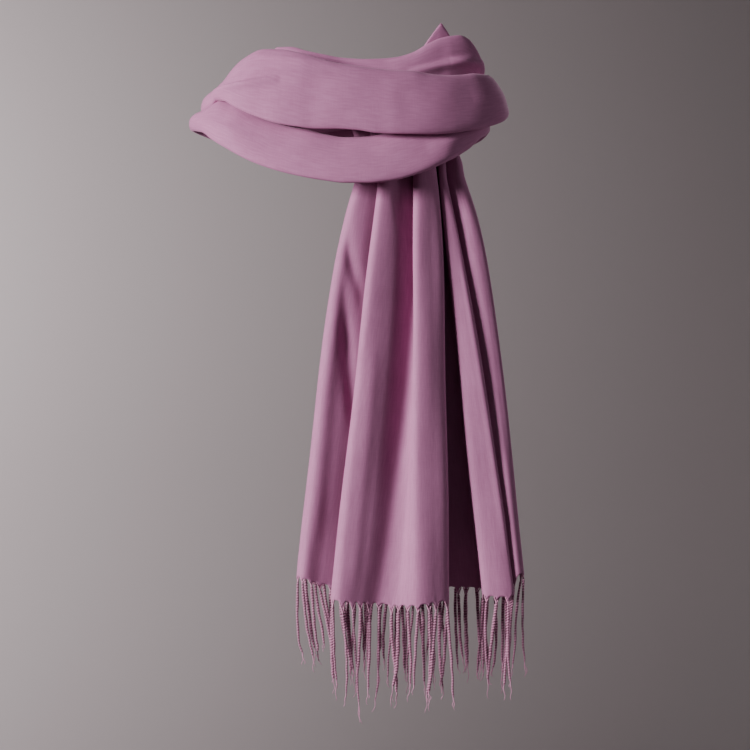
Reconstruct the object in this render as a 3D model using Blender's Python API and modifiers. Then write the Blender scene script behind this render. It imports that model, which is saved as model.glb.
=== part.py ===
"""A long woven scarf with a twisted fringe, wound two and a half times round an upright support,
its long end hanging down in front.

The cloth is one strip. From the hanging end it climbs inside the coil, turns to the right as the
top wrap, goes round the back to the left, crosses the front low down as the lower wrap, goes round
again, crosses the front above it as the upper wrap and ends tucked in at the back.

Frame: +X to the viewer's right, -Y to the front, +Z up. The origin is the middle of the coil's
hollow, where the support holds it. Sizes are in millimetres and become metres in to_metres().
"""

import math

import bmesh
import bpy
import numpy as np

# ---------------------------------------------------------------- driving dimensions, millimetres
WALL = 1.6  # thickness of the cloth's wall
SEAM_GAP = 0.3  # clear gap between stretches of the same cloth
OVAL_SIDE = 118.0  # half width of the oval that the coil follows
OVAL_FRONT = 42.0  # half depth of that oval
STATION_STEP = 12.5  # degrees of turn between the sections of a wrap
SEAM_STEP = 3.0  # degrees of turn from a wrap's end to its next section
SECTION_STEPS = 2  # faces between two points of a wrap's section

NECK_Z = -40.0  # height where the hanging end leaves the coil
TAIL_TURNS = (-2.0, 54.0)  # the part of the top wrap that the hanging end grows from, degrees
NECK_HOLD = 0.06  # share of the fall over which the coil still holds the folds together
GATHER_ROWS = 5  # rows of faces above the neck
HANG_ROWS = 9  # rows of faces from the neck to the hem
FOLD_STEPS = 2  # faces between two points across the folds

FRINGE_PITCH = 9.0  # spacing of the twisted strands along the hem
FRINGE_ROOT = 2.6  # width of a strand at its root
FRINGE_TAPER = 0.8  # width of each of a strand's sections, as a share of the one above
FRINGE_STRIP = 4.0  # height of the strip that the strands grow from
FRINGE_DROPS = (0.0, 0.45, 1.0)  # where a strand's sections lie, as shares of its length

SCARF_COLOUR = (0.36, 0.17, 0.28, 1.0)
FRINGE_COLOUR = (0.40, 0.19, 0.31, 1.0)
CLOTH_ROUGHNESS = 0.85

# ---------------------------------------------------------------- the wraps
# Turn is counted in degrees from the middle of the front, to the right and round the back.
# Top and bottom are the heights of the wrap's edges, the reaches say how far outside the oval
# those edges lie, and plump says how far the face swells out between them.
STATION = ("turn", "top", "bottom", "reach_top", "reach_bottom", "plump")
STATIONS = (
    # top wrap: rises to a peak at the right, then sinks as it goes round the back
    (-40.0, 68.0, 30.0, -9.0, -12.0, 4.0),
    (-25.0, 67.0, 30.0, -8.0, -12.0, 4.0),
    (-12.0, 62.5, 30.0, -9.0, -12.0, 4.0),
    (0.0, 59.5, 30.0, -10.0, -12.0, 4.0),
    (20.0, 61.0, 30.0, -10.0, -12.0, 4.0),
    (33.0, 68.0, 30.0, -9.0, -12.0, 4.5),
    (42.0, 82.0, 30.0, -8.0, -12.0, 4.5),
    (48.0, 92.0, 30.0, -8.0, -12.0, 4.0),
    (57.0, 83.0, 30.0, -4.0, -12.0, 5.0),
    (70.0, 75.0, 30.0, 0.0, -12.0, 5.0),
    (80.0, 66.0, 29.0, 2.0, -12.0, 5.0),
    (90.0, 57.0, 28.0, 3.0, -12.0, 5.0),
    (120.0, 46.0, 18.0, -4.0, -9.0, 4.5),
    (150.0, 42.0, 12.0, -3.0, -6.0, 4.5),
    (180.0, 36.0, 4.0, -3.0, -4.0, 4.5),
    (200.0, 24.0, -4.0, -3.0, -3.0, 4.5),
    (220.0, 8.0, -20.0, -3.0, -2.0, 4.5),
    (235.0, 1.0, -20.0, 0.0, 1.0, 4.5),
    (245.0, 2.0, -16.0, 4.0, 6.0, 4.5),
    (258.0, 6.0, -8.0, 14.0, 16.0, 5.0),
    # lower wrap: a crescent that sags across the front
    (270.0, 9.5, -2.5, 25.0, 25.0, 5.0),
    (285.0, 14.5, -6.0, 21.0, 25.0, 5.5),
    (294.0, 20.0, -14.0, 16.0, 26.0, 6.0),
    (302.0, 19.5, -21.0, 13.0, 28.0, 6.5),
    (320.0, 11.0, -37.0, 12.0, 31.0, 6.5),
    (332.0, 2.0, -45.0, 13.0, 32.0, 6.5),
    (342.0, -9.0, -50.0, 14.0, 32.0, 6.5),
    (360.0, -15.0, -55.0, 14.0, 32.0, 6.5),
    (380.0, -13.5, -51.5, 14.0, 31.0, 6.5),
    (400.0, -5.0, -36.0, 10.0, 27.0, 6.5),
    (415.0, 4.0, -23.0, 6.0, 17.0, 6.0),
    (430.0, 9.0, -10.0, 5.0, 9.0, 5.0),
    (450.0, 10.0, -5.0, 2.0, 5.0, 4.5),
    (480.0, 14.0, -14.0, 6.0, 10.0, 5.0),
    (510.0, 16.0, -24.0, 6.0, 13.0, 6.0),
    (540.0, 12.0, -30.0, 6.0, 14.0, 6.5),
    (560.0, 7.0, -28.0, 8.0, 16.0, 6.5),
    (580.0, 13.0, -18.0, 13.0, 18.0, 6.5),
    (590.0, 18.0, -9.0, 12.0, 17.0, 6.0),
    (605.0, 24.0, 4.0, 11.0, 14.0, 6.0),
    (618.0, 25.0, 9.0, 11.0, 12.0, 5.5),
    # upper wrap: the broad band across the front, ending tucked in behind the lower wrap
    (630.0, 26.5, 12.0, 14.0, 15.0, 4.5),
    (645.0, 32.0, 17.0, 12.0, 15.0, 4.5),
    (653.0, 38.5, 22.5, 9.0, 18.5, 5.0),
    (660.0, 48.0, 21.0, 8.0, 21.0, 5.5),
    (668.0, 57.0, 14.5, 8.0, 23.5, 6.0),
    (680.0, 70.0, 5.0, 8.0, 25.0, 6.5),
    (690.0, 70.0, -2.0, 9.0, 27.0, 7.0),
    (700.0, 64.0, -6.0, 11.0, 28.0, 7.0),
    (720.0, 52.0, -9.5, 13.0, 28.0, 7.0),
    (740.0, 46.0, -11.0, 13.0, 28.0, 7.0),
    (760.0, 42.0, -10.0, 13.0, 27.0, 7.0),
    (780.0, 43.0, -4.5, 11.0, 25.0, 7.0),
    (795.0, 44.0, 2.0, 9.0, 23.0, 7.0),
    (810.0, 43.0, 9.0, 8.0, 22.0, 6.0),
    (840.0, 44.0, 10.0, 12.0, 22.0, 6.5),
    (870.0, 44.0, 8.0, 15.0, 24.0, 7.0),
    (890.0, 41.0, 8.0, 15.0, 23.0, 7.0),
    (905.0, 38.0, 10.0, 10.0, 14.0, 6.0),
    (920.0, 35.0, 12.0, 8.0, 10.0, 5.0),
    (940.0, 28.0, 13.0, 3.0, 4.0, 4.0),
    (962.0, 20.0, 8.0, 0.0, 1.0, 3.5),
)
TOP_WRAP = (-40.0, 270.0)
LOWER_WRAP = (270.0, 630.0)
UPPER_WRAP = (630.0, 962.0)

# A wrap's section, from the hem tucked in behind its top edge, over the face, to the hem tucked
# in behind its bottom edge. Up runs from 0 at the bottom edge to 1 at the top edge, and out is a
# share of the plump.
SECTION = ("place", "up", "out")
SECTION_POINTS = (
    ("top_hem", 0.62, -0.52),
    ("top_lining", 0.84, -0.72),
    ("top_edge", 1.0, -0.15),
    ("shoulder", 0.93, 0.54),
    ("upper_face", 0.74, 0.88),
    ("belly", 0.50, 1.0),
    ("lower_belly", 0.27, 0.92),
    ("lower_face", 0.09, 0.64),
    ("bottom_edge", 0.0, 0.10),
    ("bottom_lining", 0.10, -0.55),
    ("bottom_hem", 0.36, -0.55),
)

# The pleats and creases that run along a wrap's face, from one turn to another. Height is where
# the line lies, half_width how far it reaches to each side, and depth how far it is pressed in:
# under 0 it is a ridge.
CREASE = ("crease", "start", "end", "start_height", "end_height", "half_width", "depth")
CREASES = (
    ("peak_pleat", 24.0, 118.0, 41.0, 57.0, 6.0, 3.0),
    ("peak_ridge", 30.0, 118.0, 54.0, 68.0, 8.0, -2.0),
    ("top_back_pleat", 128.0, 214.0, 32.0, 10.0, 7.0, 3.0),
    ("top_side_pleat", 222.0, 268.0, -10.0, 2.0, 6.0, 2.4),
    ("lower_left_pleat", 276.0, 330.0, 8.0, -20.0, 7.0, 2.0),
    ("lower_right_pleat", 392.0, 446.0, -24.0, 4.0, 7.0, 2.4),
    ("lower_back_pleat", 462.0, 574.0, 2.0, -12.0, 8.0, 3.4),
    ("left_crease", 652.0, 708.0, 32.0, 38.0, 8.0, 3.6),
    ("left_ridge", 650.0, 700.0, 46.0, 52.0, 8.0, -1.6),
    ("right_crease", 776.0, 832.0, 24.0, 30.0, 8.0, 2.6),
    ("upper_back_pleat", 836.0, 916.0, 32.0, 22.0, 8.0, 3.6),
)

# ---------------------------------------------------------------- the hanging end
# One row for each ridge, valley and turn across the cloth, from its left edge to its right edge.
# X and proud (the distance in front of the middle plane) go from the neck to the hem; an ease
# under 1 spreads early, and over 1 late. Hem is the height of the hem there.
FOLD = ("fold", "neck_x", "hem_x", "ease", "neck_proud", "hem_proud", "hem")
FOLDS = (
    ("left_edge", 17.0, -20.0, 0.8, 30.0, 38.0, -404.0),
    ("left_turn_back", 8.0, -43.0, 0.7, 33.0, 42.0, -405.0),
    ("left_turn", 6.0, -48.0, 0.67, 37.0, 48.0, -406.0),
    ("left_panel", 10.0, -42.0, 0.7, 42.0, 56.0, -408.0),
    ("left_dip", 17.0, -27.0, 0.9, 41.0, 51.0, -413.0),
    ("first_tuck", 31.0, -7.0, 1.0, 36.0, 45.0, -417.0),
    ("first_tuck_turn", 33.0, -3.0, 1.0, 40.0, 51.0, -419.0),
    ("first_tuck_front", 29.5, -9.0, 1.0, 43.5, 57.0, -421.0),
    ("second_ridge", 25.0, -18.0, 1.0, 45.0, 61.0, -423.0),
    ("second_crest", 30.0, -11.0, 1.0, 48.0, 67.0, -427.0),
    ("middle_panel", 38.0, 2.0, 1.3, 42.0, 58.0, -430.0),
    ("middle_valley", 50.5, 18.0, 1.9, 30.0, 42.0, -430.0),
    ("middle_rise", 57.0, 40.0, 3.0, 35.5, 53.0, -431.5),
    ("third_edge", 54.0, 55.0, 1.0, 42.0, 66.0, -431.5),
    ("third_crest", 61.0, 64.0, 1.0, 47.0, 73.0, -431.0),
    ("third_shoulder", 70.0, 80.0, 0.4, 43.0, 68.0, -429.0),
    ("third_ridge", 75.0, 87.0, 0.35, 37.0, 59.0, -427.0),
    ("third_turn", 70.0, 79.0, 0.4, 31.0, 48.0, -424.0),
    ("back_layer", 52.0, 42.0, 1.0, 26.5, 38.0, -421.0),
    ("back_turn", 35.0, 3.0, 1.0, 23.5, 31.0, -419.0),
    ("deep_layer_start", 39.0, 10.0, 1.0, 20.5, 26.0, -418.0),
    ("deep_layer", 56.0, 56.0, 1.0, 19.5, 21.0, -418.0),
    ("gap_floor", 74.0, 112.0, 1.15, 19.0, 20.0, -419.0),
    ("gap_side", 80.5, 119.0, 1.15, 23.0, 30.0, -421.0),
    ("fourth_side", 81.0, 121.0, 1.1, 29.0, 40.0, -423.0),
    ("fourth_crest", 84.0, 128.0, 0.95, 32.0, 49.0, -425.0),
    ("fourth_ridge", 88.0, 141.0, 0.85, 30.0, 47.0, -424.0),
    ("fourth_turn", 86.5, 136.0, 0.85, 26.0, 40.0, -421.5),
    ("fourth_tuck", 86.0, 129.5, 0.9, 23.2, 35.0, -418.5),
    ("right_panel", 90.5, 140.0, 0.8, 21.5, 31.5, -412.5),
    ("right_crest", 94.0, 149.0, 0.6, 21.8, 34.0, -405.0),
    ("right_turn", 95.0, 154.0, 0.5, 18.5, 28.5, -403.0),
    ("right_turn_back", 90.0, 146.0, 0.55, 15.5, 22.5, -404.0),
    ("last_layer", 78.0, 120.0, 0.8, 14.0, 15.0, -409.0),
    ("right_edge", 66.0, 92.0, 1.0, 13.5, 12.0, -411.0),
)

# How long the strands are, and how far their tips swing sideways and forwards, along the hem.
SWAY = ("share", "length", "side", "forward")
SWAYS = (
    (0.0, 78.0, 5.0, 0.0),
    (0.10, 80.0, 7.0, 2.0),
    (0.20, 88.0, 4.0, 3.0),
    (0.30, 92.0, -2.0, 4.0),
    (0.40, 94.0, 1.0, 4.0),
    (0.55, 82.0, -2.0, 2.0),
    (0.70, 80.0, 2.0, 0.0),
    (0.80, 90.0, -2.0, 4.0),
    (0.88, 104.0, -3.0, 2.0),
    (1.0, 84.0, 0.0, 0.0),
)


# ---------------------------------------------------------------- small tools
def to_metres(points):
    """Millimetres to metres."""
    return np.asarray(points, float) * 0.001


def column(names, rows, name):
    """One named column of a table as an array, leaving out the word that names each row."""
    return np.array([row[names.index(name)] for row in rows], float)


def eased(knots, values, at):
    """A smooth line through a table: cubic between its rows, with no overshoot in a level run."""
    knots, values, at = (np.asarray(a, float) for a in (knots, values, at))
    slopes = np.diff(values) / np.diff(knots)
    before, after = slopes[:-1], slopes[1:]
    level = before * after <= 0
    total = np.where(level, 1.0, before + after)
    middle = np.where(level, 0.0, 2 * before * after / total)
    tangents = np.concatenate([slopes[:1], middle, slopes[-1:]])
    i = np.clip(np.searchsorted(knots, at, side="right") - 1, 0, len(knots) - 2)
    span = knots[i + 1] - knots[i]
    u = (at - knots[i]) / span
    start = (1 + 2 * u) * (1 - u) ** 2 * values[i] + u * (1 - u) ** 2 * span * tangents[i]
    end = u**2 * (3 - 2 * u) * values[i + 1] + u**2 * (u - 1) * span * tangents[i + 1]
    return start + end


def rounded(points, steps):
    """A smooth curve through a row of points, with that many steps between each two."""
    points = np.asarray(points, float)
    first = 2 * points[:1] - points[1:2]
    last = 2 * points[-1:] - points[-2:-1]
    p = np.concatenate([first, points, last])
    u = np.arange(steps)[:, None] / steps
    runs = [
        0.5
        * (
            2 * b
            + (c - a) * u
            + (2 * a - 5 * b + 4 * c - d) * u**2
            + (3 * b - a - 3 * c + d) * u**3
        )
        for a, b, c, d in zip(p[:-3], p[1:-2], p[2:-1], p[3:])
    ]
    return np.concatenate(runs + [points[-1:]])


def cloth_material(name, colour):
    """A plain matt cloth."""
    material = bpy.data.materials.new(name)
    material.use_nodes = True
    shader = material.node_tree.nodes["Principled BSDF"]
    shader.inputs["Base Color"].default_value = colour
    shader.inputs["Roughness"].default_value = CLOTH_ROUGHNESS
    shader.inputs["Metallic"].default_value = 0.0
    return material


def add_object(name, mesh, material):
    """Links a mesh to the scarf's collection as one node."""
    mesh.materials.append(material)
    mesh.shade_smooth()
    node = bpy.data.objects.new(name, mesh)
    scarf.objects.link(node)
    return node


def grid_mesh(name, points):
    """An open surface through rows of points: a flat grid whose corners are moved to them."""
    rows, columns = points.shape[:2]
    bm = bmesh.new()
    bmesh.ops.create_grid(bm, x_segments=columns - 1, y_segments=rows - 1, size=1.0)
    for vert in bm.verts:
        across = round((vert.co.x + 1) / 2 * (columns - 1))
        along = round((vert.co.y + 1) / 2 * (rows - 1))
        vert.co = to_metres(points[along, across])
    mesh = bpy.data.meshes.new(name)
    bm.to_mesh(mesh)
    bm.free()
    return mesh


def cloth_wall(name, points, material):
    """A stretch of cloth: the open surface through the points, given its thickness."""
    node = add_object(name, grid_mesh(name, points), material)
    wall = node.modifiers.new("wall", "SOLIDIFY")
    wall.thickness = float(to_metres(WALL))
    wall.offset = 0.0
    return node


# ---------------------------------------------------------------- the coil
def on_oval(turn, reach):
    """Plan points at these turns, this far outside the oval."""
    angle = np.radians(turn)
    foot = np.stack([OVAL_SIDE * np.sin(angle), -OVAL_FRONT * np.cos(angle)], -1)
    out = np.stack([OVAL_FRONT * np.sin(angle), -OVAL_SIDE * np.cos(angle)], -1)
    out /= np.linalg.norm(out, axis=-1, keepdims=True)
    return foot + out * np.asarray(reach)[..., None]


def pressed_in(turns, heights):
    """How far the creases press a wrap's face in at these turns and heights."""
    depth = np.zeros_like(heights)
    for _, start, end, start_height, end_height, half_width, deep in CREASES:
        along = np.clip((turns - start) / (end - start), 0.0, 1.0)
        line = start_height + (end_height - start_height) * along
        across = (heights - line) / half_width
        depth += deep * np.sin(np.pi * along) * np.exp(-(across**2))
    return depth


def wrap_points(turns, ups, outs):
    """Points of a wrap at these turns, for a section given by its ups and outs."""
    top, bottom, reach_top, reach_bottom, plump = (
        eased(column(STATION, STATIONS, "turn"), column(STATION, STATIONS, name), turns)[:, None]
        for name in STATION[1:]
    )
    rise, lean = top - bottom, reach_top - reach_bottom
    slant = np.hypot(rise, lean)
    level = bottom + rise * ups
    swell = plump * outs - pressed_in(turns[:, None], level) * np.clip(outs, 0.0, 1.0)
    reach = reach_bottom + lean * ups + swell * rise / slant
    height = level - swell * lean / slant
    plan = on_oval(turns[:, None] + 0 * reach, reach)
    return np.concatenate([plan, height[..., None]], -1)


def wrap(name, start, end, material):
    """One stretch of the coil, from one turn to another."""
    section = rounded([row[1:] for row in SECTION_POINTS], SECTION_STEPS)
    half_gap = math.degrees(SEAM_GAP / 2 / OVAL_FRONT)
    count = round((end - start) / STATION_STEP)
    inner = np.linspace(start + SEAM_STEP, end - SEAM_STEP, count)
    turns = np.concatenate([[start + half_gap], inner, [end - half_gap]])
    return cloth_wall(name, wrap_points(turns, section[:, 0], section[:, 1]), material)


# ---------------------------------------------------------------- the hanging end
def folds_at(fall):
    """The plan of every fold at this share of the way from the neck to the hem."""
    spread = fall ** column(FOLD, FOLDS, "ease") * (1 - math.exp(-fall / NECK_HOLD))
    neck_x, hem_x = (column(FOLD, FOLDS, name) for name in ("neck_x", "hem_x"))
    neck_proud, hem_proud = (column(FOLD, FOLDS, name) for name in ("neck_proud", "hem_proud"))
    x = neck_x + (hem_x - neck_x) * spread
    y = -(neck_proud + (hem_proud - neck_proud) * fall)
    return np.stack([x, y], -1)


def hanging_row(fall, steps):
    """A row of points across the hanging end below the neck."""
    plan = rounded(folds_at(fall), steps)
    hem = rounded(column(FOLD, FOLDS, "hem")[:, None], steps)
    return np.concatenate([plan, NECK_Z + (hem - NECK_Z) * fall], -1)


def gathered_row(rise, steps):
    """A row of points above the neck, where the folds close up under the top wrap's edge."""
    neck = hanging_row(0.0, steps)
    turns = np.linspace(*TAIL_TURNS, len(neck))
    edge = dict(zip([row[0] for row in SECTION_POINTS], [row[1:] for row in SECTION_POINTS]))
    up, out = edge["bottom_edge"]
    seam = wrap_points(turns, np.array([up]), np.array([out]))[:, 0]
    seam[:, 2] -= WALL / 2 + SEAM_GAP
    ease = rise * rise * (3 - 2 * rise)
    across, depth = 1 - (1 - ease) ** 2, ease**1.6
    row = neck.copy()
    row[:, 0] += (seam[:, 0] - neck[:, 0]) * across
    row[:, 1] += (seam[:, 1] - neck[:, 1]) * depth
    row[:, 2] += (seam[:, 2] - neck[:, 2]) * rise
    return row


def hanging_end(material):
    """The folded cloth from the top wrap's edge down to the hem."""
    gathered = [gathered_row(1 - i / GATHER_ROWS, FOLD_STEPS) for i in range(GATHER_ROWS)]
    hanging = [hanging_row(i / HANG_ROWS, FOLD_STEPS) for i in range(HANG_ROWS + 1)]
    return cloth_wall("tail", np.array(gathered + hanging), material)


# ---------------------------------------------------------------- the fringe
def hem_line():
    """Points along one face of the cloth at the hem, and how far along each one is."""
    line = hanging_row(1.0, FOLD_STEPS)
    ahead = np.gradient(line[:, :2], axis=0)
    ahead /= np.linalg.norm(ahead, axis=1, keepdims=True)
    line[:, :2] += WALL / 2 * np.stack([-ahead[:, 1], ahead[:, 0]], -1)
    along = np.concatenate([[0], np.cumsum(np.linalg.norm(np.diff(line, axis=0), axis=1))])
    return line, along


def at_length(line, along, where):
    """Points of a line at these lengths along it."""
    return np.stack([np.interp(where, along, line[:, axis]) for axis in range(3)], -1)


def grow_strand(bm, face, length, side, forward):
    """Draws one face of the strip's lower edge down into a tapering strand."""
    for share in np.diff(FRINGE_DROPS):
        face = bmesh.ops.extrude_discrete_faces(bm, faces=[face])["faces"][0]
        step = to_metres(np.array([side, -forward, -length]) * share)
        bmesh.ops.translate(bm, verts=face.verts, vec=step)
        centre = face.calc_center_median()
        for vert in face.verts:
            vert.co = centre + (vert.co - centre) * FRINGE_TAPER
            vert.co.z = centre.z


def fringe(material):
    """A narrow strip along the hem, with the twisted strands growing from its lower edge."""
    line, along = hem_line()
    count = int(along[-1] // FRINGE_PITCH)
    middles = (np.arange(count) + 0.5) * along[-1] / count
    pitch = along[-1] / count
    between = middles[:-1] + pitch / 2
    edges = np.concatenate([middles - FRINGE_ROOT / 2, middles + FRINGE_ROOT / 2, between])
    cuts = np.sort(np.concatenate([[0.0], edges, [along[-1]]]))
    top = at_length(line, along, cuts) - [0, 0, SEAM_GAP]
    strip = np.array([top, top - [0, 0, FRINGE_STRIP]])

    bm = bmesh.new()
    bm.from_mesh(grid_mesh("strip", strip))
    bmesh.ops.solidify(bm, geom=bm.faces[:], thickness=float(to_metres(WALL)))
    bm.normal_update()
    under = [face for face in bm.faces if face.normal.z < -0.7]
    roots = to_metres(at_length(strip[1], cuts, middles))
    centres = np.array([face.calc_center_median() for face in under])
    nearest = [int(np.argmin(np.linalg.norm(centres - root, axis=1))) for root in roots]
    for middle, face in zip(middles, [under[i] for i in nearest]):
        share = middle / along[-1]
        length, side, forward = (
            float(eased(column(SWAY, SWAYS, "share"), column(SWAY, SWAYS, name), share))
            for name in SWAY[1:]
        )
        grow_strand(bm, face, length, side, forward)
    bmesh.ops.recalc_face_normals(bm, faces=bm.faces[:])
    mesh = bpy.data.meshes.new("fringe")
    bm.to_mesh(mesh)
    bm.free()
    return add_object("fringe", mesh, material)


# ---------------------------------------------------------------- the scarf
for old in list(bpy.data.objects):
    bpy.data.objects.remove(old)
scarf = bpy.data.collections.new("tassel_scarf")
bpy.context.scene.collection.children.link(scarf)

scarf_cloth = cloth_material("scarf_cloth", SCARF_COLOUR)
fringe_yarn = cloth_material("fringe_yarn", FRINGE_COLOUR)

wrap("wrap_top", *TOP_WRAP, scarf_cloth)
wrap("wrap_lower", *LOWER_WRAP, scarf_cloth)
wrap("wrap_upper", *UPPER_WRAP, scarf_cloth)
hanging_end(scarf_cloth)
fringe(fringe_yarn)
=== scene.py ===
import math

import bmesh
import bpy
import numpy as np
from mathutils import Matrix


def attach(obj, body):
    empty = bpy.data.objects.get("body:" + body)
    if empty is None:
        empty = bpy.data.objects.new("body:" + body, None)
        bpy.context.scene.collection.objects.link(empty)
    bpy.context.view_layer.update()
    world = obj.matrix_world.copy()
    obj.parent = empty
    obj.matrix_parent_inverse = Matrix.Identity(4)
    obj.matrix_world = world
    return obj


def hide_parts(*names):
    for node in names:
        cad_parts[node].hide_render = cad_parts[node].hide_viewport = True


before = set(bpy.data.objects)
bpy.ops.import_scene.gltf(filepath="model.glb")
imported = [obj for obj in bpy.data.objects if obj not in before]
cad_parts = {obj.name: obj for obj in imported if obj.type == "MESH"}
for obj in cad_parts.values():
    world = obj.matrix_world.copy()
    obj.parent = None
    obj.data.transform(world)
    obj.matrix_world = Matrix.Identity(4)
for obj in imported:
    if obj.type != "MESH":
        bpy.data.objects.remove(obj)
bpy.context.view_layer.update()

# ---------------------------------------------------------------- top wrap
# The first turn of the scarf round its support: a soft roll of fine mauve wool cloth, gathered
# lengthwise. It rises to a peak at the right, passes the back and comes down at the left.
OVAL_SIDE = 118.0  # half width of the oval that the coil follows, millimetres
OVAL_FRONT = 42.0  # half depth of that oval
CLOTH_THICK = 1.1  # thickness of the cloth's edge
TURN_STEP = 1.0  # degrees between two rings of a wrap
RING_STEPS = 8  # points of a ring between two of its shape's points
CREASE_ENDS = 0.8  # power that shapes a crease's ends: under 1 it deepens soon
WAVE_DEPTH = 0.22  # the cloth's soft unevenness between its creases
RIPPLE_DEPTH = 0.16  # its finer unevenness

# turn counts degrees from the middle of the front, to the right and round the back
wrap_columns = ("turn", "top", "bottom", "reach_top", "reach_bottom", "plump")
top_rows = (
    (-40.0, 62.0, 30.0, -10.0, -12.0, 4.0),
    (-36.0, 70.5, 30.0, -9.0, -12.0, 4.0),
    (-29.0, 70.5, 30.0, -8.0, -12.0, 4.0),
    (-20.0, 66.4, 30.0, -8.0, -12.0, 4.0),
    (-12.0, 63.0, 30.0, -8.0, -12.0, 4.0),
    (-4.0, 60.2, 30.0, -9.0, -12.0, 4.0),
    (6.0, 59.1, 30.0, -9.0, -12.0, 4.0),
    (14.0, 59.6, 30.0, -9.0, -12.0, 4.5),
    (21.0, 61.0, 30.0, -8.0, -12.0, 4.5),
    (29.0, 65.4, 30.0, -7.0, -12.0, 4.5),
    (37.0, 73.4, 30.0, -6.0, -12.0, 4.5),
    (44.0, 78.5, 30.0, -5.0, -12.0, 4.5),
    (51.0, 81.0, 30.0, -4.0, -12.0, 5.0),
    (58.0, 82.0, 30.0, -3.0, -12.0, 5.0),
    (65.0, 79.5, 30.0, -2.0, -12.0, 5.0),
    (72.0, 73.5, 30.0, -1.0, -12.0, 5.0),
    (78.0, 67.0, 29.5, 0.0, -12.0, 5.0),
    (84.0, 61.0, 29.0, 1.0, -12.0, 5.0),
    (90.0, 56.0, 28.0, 2.0, -12.0, 5.0),
    (120.0, 46.0, 18.0, -4.0, -9.0, 4.5),
    (150.0, 42.0, 12.0, -3.0, -6.0, 4.5),
    (180.0, 36.0, 4.0, -3.0, -4.0, 4.5),
    (200.0, 24.0, -4.0, -3.0, -3.0, 4.5),
    (220.0, 8.0, -20.0, -3.0, -2.0, 4.5),
    (235.0, 1.0, -20.0, 0.0, 1.0, 4.5),
    (245.0, 2.0, -16.0, 4.0, 6.0, 4.5),
    (258.0, 6.0, -8.0, 14.0, 16.0, 5.0),
    (270.0, 9.5, -2.5, 25.0, 25.0, 5.0),
    (285.0, 14.5, -6.0, 21.0, 25.0, 5.5),
)
# pleats and creases in the wrap's face, each from one turn and height to another: how far it
# reaches above and below that line, and how deep it is pressed in, or out where that is under 0
# (turn_from, height_from, turn_to, height_to, above, below, depth)
top_creases = (
    (26.0, 48.0, 74.0, 64.0, 2.4, 5.0, 3.4),
    (50.0, 60.0, 100.0, 59.0, 2.4, 5.0, 3.0),
    (-34.0, 60.0, 22.0, 52.0, 7.0, 7.0, -1.2),
    (128.0, 32.0, 214.0, 10.0, 3.0, 8.0, 3.0),
    (140.0, 22.0, 206.0, -2.0, 4.0, 4.0, 1.2),
    (222.0, -10.0, 268.0, 2.0, 6.0, 6.0, 2.4),
)
# the hem behind the peak stands up past it as a small pointed flap: turn, and how far it is raised
flap_rows = ((28.0, 0.0), (37.5, 18.5), (46.0, 32.5), (51.0, 22.0), (60.0, 0.0))
# the ring's shape: up is 0 at the bottom edge and 1 at the top, out a share of the plump
ring_shape = (
    (0.62, -0.52),
    (0.85, -0.72),
    (1.0, -0.12),
    (0.94, 0.50),
    (0.76, 0.87),
    (0.50, 1.0),
    (0.25, 0.93),
    (0.07, 0.68),
    (0.0, 0.24),
    (0.08, -0.42),
    (0.36, -0.55),
)
RING_BOTTOM_EDGE = 8  # place of the bottom edge in the ring's shape


def column(names, rows, name):
    """One named column of a table."""
    return np.array([row[names.index(name)] for row in rows], float)


def eased(knots, values, at):
    """A smooth line through a table, with no overshoot where it runs level."""
    at = np.asarray(at, float)
    slopes = np.diff(values) / np.diff(knots)
    before, after = slopes[:-1], slopes[1:]
    level = before * after <= 0
    middle = np.where(level, 0.0, 2 * before * after / np.where(level, 1.0, before + after))
    tangents = np.concatenate([slopes[:1], middle, slopes[-1:]])
    i = np.clip(np.searchsorted(knots, at, side="right") - 1, 0, len(knots) - 2)
    span = knots[i + 1] - knots[i]
    u = (at - knots[i]) / span
    start = (1 + 2 * u) * (1 - u) ** 2 * values[i] + u * (1 - u) ** 2 * span * tangents[i]
    end = u**2 * (3 - 2 * u) * values[i + 1] + u**2 * (u - 1) * span * tangents[i + 1]
    return start + end


def along_curve(points, at):
    """A smooth curve through a row of points, read at fractional places in the row."""
    points = np.asarray(points, float)
    p = np.concatenate([2 * points[:1] - points[1:2], points, 2 * points[-1:] - points[-2:-1]])
    i = np.clip(np.floor(at).astype(int), 0, len(points) - 2)
    u = (at - i)[:, None]
    a, b, c, d = p[i], p[i + 1], p[i + 2], p[i + 3]
    curve = 2 * b + (c - a) * u + (2 * a - 5 * b + 4 * c - d) * u**2
    return 0.5 * (curve + (3 * b - a - 3 * c + d) * u**3)


def soft_step(x):
    """0 below 0 and 1 above 1, with a smooth rise between."""
    x = np.clip(x, 0.0, 1.0)
    return x * x * (3 - 2 * x)


def grid_normals(points):
    """The surface's direction at each point of a grid."""
    normals = np.cross(np.gradient(points, axis=0), np.gradient(points, axis=1))
    return normals / np.maximum(np.linalg.norm(normals, axis=2, keepdims=True), 1e-9)


def ring_points(rows, turns, ups, outs):
    """Points of a wrap at these turns, for rings of the given shape."""
    knots = column(wrap_columns, rows, "turn")
    top, bottom, reach_top, reach_bottom, plump = (
        eased(knots, column(wrap_columns, rows, name), turns)[:, None] for name in wrap_columns[1:]
    )
    rise, lean = top - bottom, reach_top - reach_bottom
    slant = np.hypot(rise, lean)
    reach = reach_bottom + lean * ups + plump * outs * rise / slant
    height = bottom + rise * ups - plump * outs * lean / slant
    angle = np.radians(turns)[:, None]
    out_x, out_y = OVAL_FRONT * np.sin(angle), -OVAL_SIDE * np.cos(angle)
    length = np.hypot(out_x, out_y)
    x = OVAL_SIDE * np.sin(angle) + reach * out_x / length
    y = -OVAL_FRONT * np.cos(angle) + reach * out_y / length
    return np.stack([x, y, height], -1)


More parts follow.
